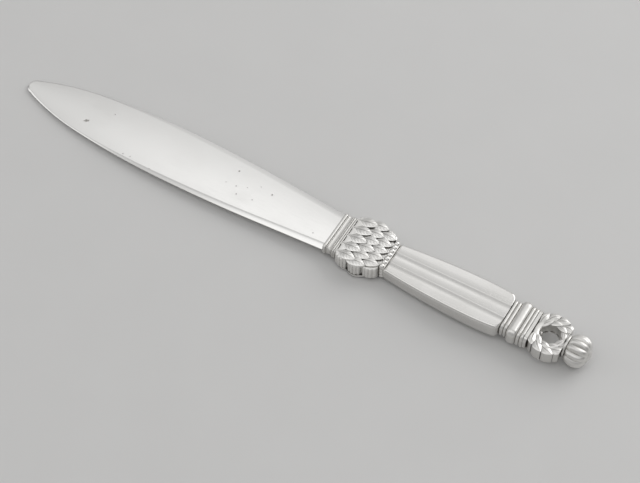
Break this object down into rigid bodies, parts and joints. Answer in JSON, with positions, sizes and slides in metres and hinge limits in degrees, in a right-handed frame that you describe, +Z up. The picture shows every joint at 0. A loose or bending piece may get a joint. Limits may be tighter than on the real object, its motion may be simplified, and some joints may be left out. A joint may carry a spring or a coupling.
{
  "type": "letter opener",
  "caption": "Letter opener with a flat round-nosed blade, ring collar, leaf-scaled bolster, fluted hollow handle and an open wreath finial with a ribbed ball knob.",
  "frame": {"origin": "centre of the bounding box on the table it lies on", "axes": "+X along the opener from the blade's tip to the knob, +Y across it, +Z up from the table"},
  "size_m": [0.21, 0.021, 0.0104],
  "materials": {
    "blade_steel": "polished",
    "silver": "polished",
    "silver_cast": "satin",
    "cement": "matte"
  },
  "bodies": {
    "root": {"blade": "blade_steel", "collar_front_ring": "silver", "collar_band": "silver", "collar_rear_ring": "silver", "bolster_sleeve": "silver_cast", "leaf_plate_front": "silver_cast", "leaf_plate_back": "silver_cast", "bead_row": "silver_cast", "handle_shell_front": "silver", "handle_shell_back": "silver", "handle_filler": "cement", "ferrule_front_rings": "silver", "ferrule_torus": "silver", "ferrule_rear_rings": "silver", "finial_plate": "silver", "wreath_left": "silver_cast", "wreath_right": "silver_cast", "binding_bead": "silver_cast", "knob_collar": "silver", "knob": "silver_cast", "knob_button": "silver_cast", "knob_peg": "silver"}
  },
  "joints": []
}
